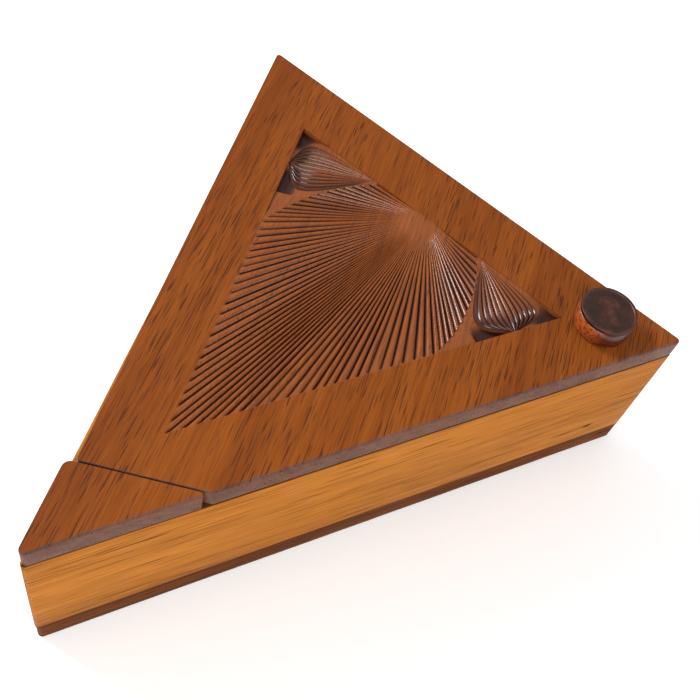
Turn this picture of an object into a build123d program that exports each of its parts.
"""Triangular hardwood box with a carved lid that swivels about a screw in one corner.

Plan: an isosceles triangle. Its two long sides meet at the sharp corner L (front left), the
front side runs along X from L to the pivot corner R, and T is the corner at the back.
The origin is the middle of the bounding box, on the surface that the box stands on.
"""
import os
from math import cos, radians, sin, tan

from build123d import *

# ---------------------------------------------------------------- driving dimensions, mm
LONG_SIDE = 217.0            # L to R and L to T, sharp corner to sharp corner
SHARP_ANGLE = 50.0           # degrees between the two long sides
CORNER_ROUND = 1.2           # upright outer corners of the box

BASE_THICKNESS = 9.0
BASE_EDGE_ROUND = 1.5        # lower edge of the base, broken by hand
WALL_HEIGHT = 45.5
WALL_THICKNESS = 8.0

LID_THICKNESS = 7.0
LID_EDGE_ROUND = 0.8         # upper edge of the lid
LID_NOSE_ROUND = 1.5         # upright corner of the lid at the front end of the saw cut
LID_SHOULDER_ROUND = 1.0     # the same at the left end
LID_TRIM_AT_CUT = 2.8        # how far the lid's left edge stands in from the wall, at the cut
LID_TRIM_AT_TOP = 0.3        # the same at the back corner
CUT_FROM_L_FRONT = 52.0      # saw cut to L, along the front edge
CUT_FROM_L_LEFT = 29.8       # saw cut to L, along the left edge
CUT_GAP = 0.4                # saw kerf between the fixed corner and the lid
FIXED_EDGE_ROUND = 0.6       # upper edge of the fixed corner
FIXED_NOSE_ROUND = 0.7       # upright corner of the fixed corner at the front end of the cut
FIXED_SHOULDER_ROUND = 2.0   # the same at the left end

PIVOT_FROM_FRONT = 14.5      # pivot axis to the front face
PIVOT_FROM_REAR = 16.5       # pivot axis to the rear face
BLOCK_LEG = 30.0             # glue block, along each wall

SHANK_DIAMETER = 4.8
THREAD_DIAMETER = 4.0
THREAD_LENGTH = 18.0
POINT_LENGTH = 4.0
HEAD_DIAMETER = 9.4
HEAD_HEIGHT = 2.6
SLOT_WIDTH = 1.2
SLOT_DEPTH = 1.2
RUNNING_CLEARANCE = 0.08     # on the radius, screw shank in the lid
FIXED_CLEARANCE = 0.02       # on the radius, parts that stay put on the screw
HEAD_CLEARANCE = 0.6         # on the radius, screw head in the knob
HEAD_COVER = 0.6             # air between the screw head and the disc

LID_WASHER_DIAMETER = 12.0
LID_WASHER_THICKNESS = 0.4
KNOB_WASHER_DIAMETER = 14.0
KNOB_WASHER_THICKNESS = 0.5

KNOB_DIAMETER = 19.4
KNOB_HEIGHT = 6.6
KNOB_EDGE_ROUND = 0.4
DISC_DIAMETER = 19.0
DISC_THICKNESS = 1.55
DISC_RIM_WIDTH = 1.1
DISC_RIM_HEIGHT = 0.25

FIELD_MARGIN_SIDES = 21.5    # carved field to the two long edges
FIELD_MARGIN_REAR = 23.5     # carved field to the rear edge
FIELD_DEPTH = 1.8            # smooth crescents beside the fan
FAN_DEPTH = 0.8              # mean level of the grooved fan
CORNER_MOTIF_WIDTH = 35.0    # fan's shoulder to the field's corner, along the rear side
CORNER_MOTIF_LENGTH = 48.5   # fan's shoulder to the field's corner, along a long side
SHOULDER_RADIUS = 70.0
BUD_DEPTH = 0.3              # crest of a bud under the lid's face
BUD_TIP_WIDTH = 31.5         # bud's upper tip to the field's corner, along the rear side
BUD_FOOT_LENGTH = 20.0       # bud's foot to the field's corner, along a long side
BUD_INNER_BULGE = 3.6        # how far the bud's inner side bows out
BUD_OUTER_BULGE = 4.6        # how far the bud's outer side bows out
BUD_ROOT = 1.5               # how far a bud's two ends run into the lid around the field
PIT_DEPTH = 3.2
PIT_SIDE = 7.0               # deep corner pit, along both sides of the field

# ---------------------------------------------------------------- levels
WALL_BOTTOM = BASE_THICKNESS
WALL_TOP = WALL_BOTTOM + WALL_HEIGHT
LID_BOTTOM = WALL_TOP + LID_WASHER_THICKNESS
LID_TOP = LID_BOTTOM + LID_THICKNESS
KNOB_BOTTOM = LID_TOP + KNOB_WASHER_THICKNESS
KNOB_TOP = KNOB_BOTTOM + KNOB_HEIGHT
HEAD_TOP = KNOB_TOP - HEAD_COVER
HEAD_BOTTOM = HEAD_TOP - HEAD_HEIGHT

BOTTOM_ALIGNED = (Align.CENTER, Align.CENTER, Align.MIN)
TOP_ALIGNED = (Align.CENTER, Align.CENTER, Align.MAX)

# ---------------------------------------------------------------- plan
HALF_ANGLE = SHARP_ANGLE / 2
BLUNT_HALF = (90 - HALF_ANGLE) / 2


def direction(degrees):
    """Unit vector in plan."""
    return Vector(cos(radians(degrees)), sin(radians(degrees)))


def corner_inset(half_angle, distance):
    """How far a line parallel to both sides of a corner, `distance` in, meets from it."""
    return distance / sin(radians(half_angle))


def plan_corners():
    """L, R and T with the bounding box of the rounded outline centred on the origin."""
    left = Vector(0, 0)
    right = Vector(LONG_SIDE, 0)
    top = direction(SHARP_ANGLE) * LONG_SIDE
    left_centre = corner_inset(HALF_ANGLE, CORNER_ROUND) * direction(HALF_ANGLE)
    right_centre = right + corner_inset(BLUNT_HALF, CORNER_ROUND) * direction(180 - BLUNT_HALF)
    top_centre = top + corner_inset(BLUNT_HALF, CORNER_ROUND) * direction(
        SHARP_ANGLE + 180 + BLUNT_HALF)
    low_x = left_centre.X - CORNER_ROUND
    high_x = right_centre.X + CORNER_ROUND
    high_y = top_centre.Y + CORNER_ROUND
    middle = Vector((low_x + high_x) / 2, high_y / 2)
    return left - middle, right - middle, top - middle


L, R, T = plan_corners()
AXIS = direction(HALF_ANGLE)                 # from L along the triangle's line of symmetry
ACROSS = direction(HALF_ANGLE + 90)          # square to it, towards T
REAR = direction(90 + HALF_ANGLE)            # from R to T
LEFT = direction(SHARP_ANGLE)                # from L to T
PIVOT = Vector(
    R.X - (PIVOT_FROM_REAR + PIVOT_FROM_FRONT * sin(radians(HALF_ANGLE))) / cos(radians(HALF_ANGLE)),
    R.Y + PIVOT_FROM_FRONT)


def polygon(*points):
    """Face bounded by straight lines through the points."""
    return make_face(Polyline(*points, close=True).edges())


def nearest_vertex(face, point):
    """The corner of the face that lies at the point."""
    return face.vertices().sort_by_distance(point)[0]


def prism(face, bottom, height):
    """Upright prism on the face."""
    return extrude(Pos(0, 0, bottom) * face, amount=height)


def round_top(solid, radius):
    """Round the upper outer edges of a plate."""
    return fillet(solid.faces().sort_by(Axis.Z)[-1].outer_wire().edges(), radius)


def outline():
    """Outer outline of the box, with rounded corners."""
    face = polygon(L, R, T)
    return fillet(face.vertices(), CORNER_ROUND)


def inner_corner(corner, half_angle, towards_middle):
    """Where the inner faces of two walls meet."""
    return corner + corner_inset(half_angle, WALL_THICKNESS) * towards_middle


INNER_L = inner_corner(L, HALF_ANGLE, AXIS)
INNER_R = inner_corner(R, BLUNT_HALF, direction(180 - BLUNT_HALF))
INNER_T = inner_corner(T, BLUNT_HALF, direction(SHARP_ANGLE + 180 + BLUNT_HALF))


# ---------------------------------------------------------------- case
def base_panel():
    """Flat bottom board, its lower edge rounded over."""
    board = prism(outline(), 0, BASE_THICKNESS)
    return fillet(board.faces().sort_by(Axis.Z)[0].outer_wire().edges(), BASE_EDGE_ROUND)


def wall(start, end, inner_end, inner_start):
    """Board between two mitred corners."""
    board = prism(polygon(start, end, inner_end, inner_start), WALL_BOTTOM, WALL_HEIGHT)
    return board & prism(outline(), WALL_BOTTOM, WALL_HEIGHT)


def pivot_block():
    """Glue block in the pivot corner, with the screw's pilot hole."""
    block = prism(
        polygon(INNER_R, INNER_R + REAR * BLOCK_LEG, INNER_R - Vector(BLOCK_LEG, 0)),
        WALL_BOTTOM, WALL_HEIGHT)
    depth = THREAD_LENGTH + POINT_LENGTH
    pilot = Cylinder(THREAD_DIAMETER / 2 + FIXED_CLEARANCE, depth, align=TOP_ALIGNED)
    return block - Pos(PIVOT.X, PIVOT.Y, WALL_TOP) * pilot


# ---------------------------------------------------------------- lid
CUT_FRONT = L + Vector(CUT_FROM_L_FRONT, 0)
CUT_LEFT = L + LEFT * CUT_FROM_L_LEFT
CUT_ALONG = (CUT_LEFT - CUT_FRONT).normalized()
CUT_NORMAL = Vector(CUT_ALONG.Y, -CUT_ALONG.X)   # from the fixed corner towards the lid


def crossing(point_a, along_a, point_b, along_b):
    """Where two lines in plan cross."""
    offset = point_b - point_a
    scale = (offset.X * along_b.Y - offset.Y * along_b.X) / (
        along_a.X * along_b.Y - along_a.Y * along_b.X)
    return point_a + along_a * scale


def lid_corner():
    """Fixed corner of the lid, as high as the lid itself."""
    face = polygon(L, CUT_FRONT, CUT_LEFT)
    face = fillet(nearest_vertex(face, L), CORNER_ROUND)
    face = fillet(nearest_vertex(face, CUT_FRONT), FIXED_NOSE_ROUND)
    face = fillet(nearest_vertex(face, CUT_LEFT), FIXED_SHOULDER_ROUND)
    plate = prism(face, WALL_TOP, LID_TOP - WALL_TOP)
    return round_top(plate, FIXED_EDGE_ROUND)


def lid_outline():
    """Plan of the moving lid, its left edge trimmed a little inside the wall."""
    left_normal = Vector(LEFT.Y, -LEFT.X)
    trim_start = CUT_LEFT + left_normal * LID_TRIM_AT_CUT
    trim_end = T + left_normal * LID_TRIM_AT_TOP
    trim_along = (trim_end - trim_start).normalized()
    cut_point = CUT_FRONT + CUT_NORMAL * CUT_GAP
    front_nose = crossing(cut_point, CUT_ALONG, L, Vector(1, 0))
    left_nose = crossing(cut_point, CUT_ALONG, trim_start, trim_along)
    top = crossing(trim_start, trim_along, R, REAR)
    face = polygon(front_nose, R, top, left_nose)
    rounded = [nearest_vertex(face, R), nearest_vertex(face, top)]
    face = fillet(rounded, CORNER_ROUND)
    face = fillet(nearest_vertex(face, front_nose), LID_NOSE_ROUND)
    return fillet(nearest_vertex(face, left_nose), LID_SHOULDER_ROUND)


FIELD_NEAR = corner_inset(HALF_ANGLE, FIELD_MARGIN_SIDES)
FIELD_FAR = LONG_SIDE * cos(radians(HALF_ANGLE)) - FIELD_MARGIN_REAR
FIELD_HALF = (FIELD_FAR - FIELD_NEAR) * tan(radians(HALF_ANGLE))


def field_point(along, across):
    """Point of the carved field: distance from L along the axis, and square to it."""
    return L + AXIS * along + ACROSS * across


def along_side(distance, side):
    """Point of a long side of the field, `distance` from the field's rear corner."""
    return field_point(
        FIELD_FAR - distance * cos(radians(HALF_ANGLE)),
        side * (FIELD_HALF - distance * sin(radians(HALF_ANGLE))))


def bowed(start, end, bulge, towards):
    """Arc from start to end that bows out by `bulge` to the side where `towards` lies."""
    middle = (start + end) / 2
    normal = Vector((end - start).Y, -(end - start).X).normalized()
    if normal.dot(towards - middle) < 0:
        normal = -normal
    return ThreePointArc(start, middle + normal * bulge, end)


def fan_face():
    """Plan of the fan between the field's sharp corner and its two shoulders."""
    tip = field_point(FIELD_NEAR, 0)
    upper = field_point(FIELD_FAR, FIELD_HALF - CORNER_MOTIF_WIDTH)
    lower = field_point(FIELD_FAR, CORNER_MOTIF_WIDTH - FIELD_HALF)
    upper_side = along_side(CORNER_MOTIF_LENGTH, 1)
    lower_side = along_side(CORNER_MOTIF_LENGTH, -1)
    chord = (upper - upper_side).length / 2
    bulge = SHOULDER_RADIUS - (SHOULDER_RADIUS ** 2 - chord ** 2) ** 0.5
    edges = [
        Line(lower, upper),
        bowed(upper, upper_side, bulge, field_point(FIELD_FAR, FIELD_HALF)),
        Line(upper_side, tip),
        Line(tip, lower_side),
        bowed(lower_side, lower, bulge, field_point(FIELD_FAR, -FIELD_HALF)),
    ]
    return make_face(edges)


def bud_face(side):
    """Plan of one bud: an almond from the rear side of the field to a long side."""
    edge_tip = field_point(FIELD_FAR, side * (FIELD_HALF - BUD_TIP_WIDTH))
    edge_foot = along_side(BUD_FOOT_LENGTH, side)
    root = (edge_tip - edge_foot).normalized() * BUD_ROOT
    tip = edge_tip + root
    foot = edge_foot - root
    corner = field_point(FIELD_FAR, side * FIELD_HALF)
    fan_side = field_point(FIELD_NEAR, 0)
    return make_face([
        bowed(tip, foot, BUD_INNER_BULGE, fan_side),
        bowed(foot, tip, BUD_OUTER_BULGE, corner),
    ])


def pit_face(side):
    """Plan of the deep pit in a rear corner of the field."""
    return polygon(
        field_point(FIELD_FAR, side * FIELD_HALF),
        field_point(FIELD_FAR, side * (FIELD_HALF - PIT_SIDE)),
        along_side(PIT_SIDE, side))


def carve(plate):
    """Sink the field in the lid, and leave the fan and the two buds standing in it."""
    field = polygon(
        field_point(FIELD_NEAR, 0),
        field_point(FIELD_FAR, -FIELD_HALF),
        field_point(FIELD_FAR, FIELD_HALF))
    floor = field - fan_face()
    plate -= prism(fan_face(), LID_TOP - FAN_DEPTH, FAN_DEPTH)
    for side in (1, -1):
        floor -= bud_face(side)
        plate -= prism(bud_face(side) & field, LID_TOP - BUD_DEPTH, BUD_DEPTH)
        plate -= prism(pit_face(side), LID_TOP - PIT_DEPTH, PIT_DEPTH)
    return plate - prism(floor, LID_TOP - FIELD_DEPTH, FIELD_DEPTH)


def lid_panel():
    """Moving lid with its carving and the running hole for the pivot screw."""
    plate = round_top(prism(lid_outline(), LID_BOTTOM, LID_THICKNESS), LID_EDGE_ROUND)
    plate = carve(plate)
    hole = Cylinder(SHANK_DIAMETER / 2 + RUNNING_CLEARANCE, LID_THICKNESS, align=BOTTOM_ALIGNED)
    return plate - Pos(PIVOT.X, PIVOT.Y, LID_BOTTOM) * hole


# ---------------------------------------------------------------- pivot
def at_pivot(solid, height):
    """Stand a round part on the pivot axis."""
    return Pos(PIVOT.X, PIVOT.Y, height) * solid


def pivot_screw():
    """Round-head wood screw: head in the knob, plain shank through the lid, point in the block."""
    shank_length = HEAD_BOTTOM - WALL_TOP
    point = Cone(0.3, THREAD_DIAMETER / 2, POINT_LENGTH, align=BOTTOM_ALIGNED)
    thread = Cylinder(THREAD_DIAMETER / 2, THREAD_LENGTH, align=BOTTOM_ALIGNED)
    shank = Cylinder(SHANK_DIAMETER / 2, shank_length, align=BOTTOM_ALIGNED)
    head = Cylinder(HEAD_DIAMETER / 2, HEAD_HEIGHT, align=BOTTOM_ALIGNED)
    head = round_top(head, HEAD_HEIGHT / 3)
    slot = Box(HEAD_DIAMETER, SLOT_WIDTH, SLOT_DEPTH, align=TOP_ALIGNED)
    screw = at_pivot(point, WALL_TOP - THREAD_LENGTH - POINT_LENGTH)
    screw += at_pivot(thread, WALL_TOP - THREAD_LENGTH)
    screw += at_pivot(shank, WALL_TOP)
    screw += at_pivot(head, HEAD_BOTTOM)
    return screw - at_pivot(slot, HEAD_TOP)


def washer(diameter, thickness, height):
    """Flat washer on the screw's shank."""
    ring = Cylinder(diameter / 2, thickness, align=BOTTOM_ALIGNED)
    ring -= Cylinder(SHANK_DIAMETER / 2 + FIXED_CLEARANCE, thickness, align=BOTTOM_ALIGNED)
    return at_pivot(ring, height)


def knob_body():
    """Squat turned knob, bored for the shank and counterbored for the screw's head."""
    knob = Cylinder(KNOB_DIAMETER / 2, KNOB_HEIGHT, align=BOTTOM_ALIGNED)
    knob = round_top(knob, KNOB_EDGE_ROUND)
    knob -= Cylinder(SHANK_DIAMETER / 2 + FIXED_CLEARANCE, KNOB_HEIGHT, align=BOTTOM_ALIGNED)
    pocket_depth = HEAD_HEIGHT + HEAD_COVER
    pocket = Cylinder(HEAD_DIAMETER / 2 + HEAD_CLEARANCE, pocket_depth, align=TOP_ALIGNED)
    knob -= Pos(0, 0, KNOB_HEIGHT) * pocket
    return at_pivot(knob, KNOB_BOTTOM)


def knob_disc():
    """Copper disc with a raised rim, glued over the screw."""
    disc = Cylinder(DISC_DIAMETER / 2, DISC_THICKNESS, align=BOTTOM_ALIGNED)
    dish = Cylinder(DISC_DIAMETER / 2 - DISC_RIM_WIDTH, DISC_RIM_HEIGHT, align=BOTTOM_ALIGNED)
    disc -= Pos(0, 0, DISC_THICKNESS - DISC_RIM_HEIGHT) * dish
    return at_pivot(disc, KNOB_TOP)


def nodes():
    """Every piece by the name of its node."""
    return {
        "base_panel": base_panel(),
        "front_wall": wall(L, R, INNER_R, INNER_L),
        "left_wall": wall(T, L, INNER_L, INNER_T),
        "rear_wall": wall(R, T, INNER_T, INNER_R),
        "pivot_block": pivot_block(),
        "lid_corner": lid_corner(),
        "lid_panel": lid_panel(),
        "lid_washer": washer(LID_WASHER_DIAMETER, LID_WASHER_THICKNESS, WALL_TOP),
        "knob_washer": washer(KNOB_WASHER_DIAMETER, KNOB_WASHER_THICKNESS, LID_TOP),
        "pivot_screw": pivot_screw(),
        "knob_body": knob_body(),
        "knob_disc": knob_disc(),
    }


def main():
    os.makedirs("parts", exist_ok=True)
    for name, solid in nodes().items():
        export_step(solid, f"parts/{name}.step")
    print("pivot", PIVOT)


main()
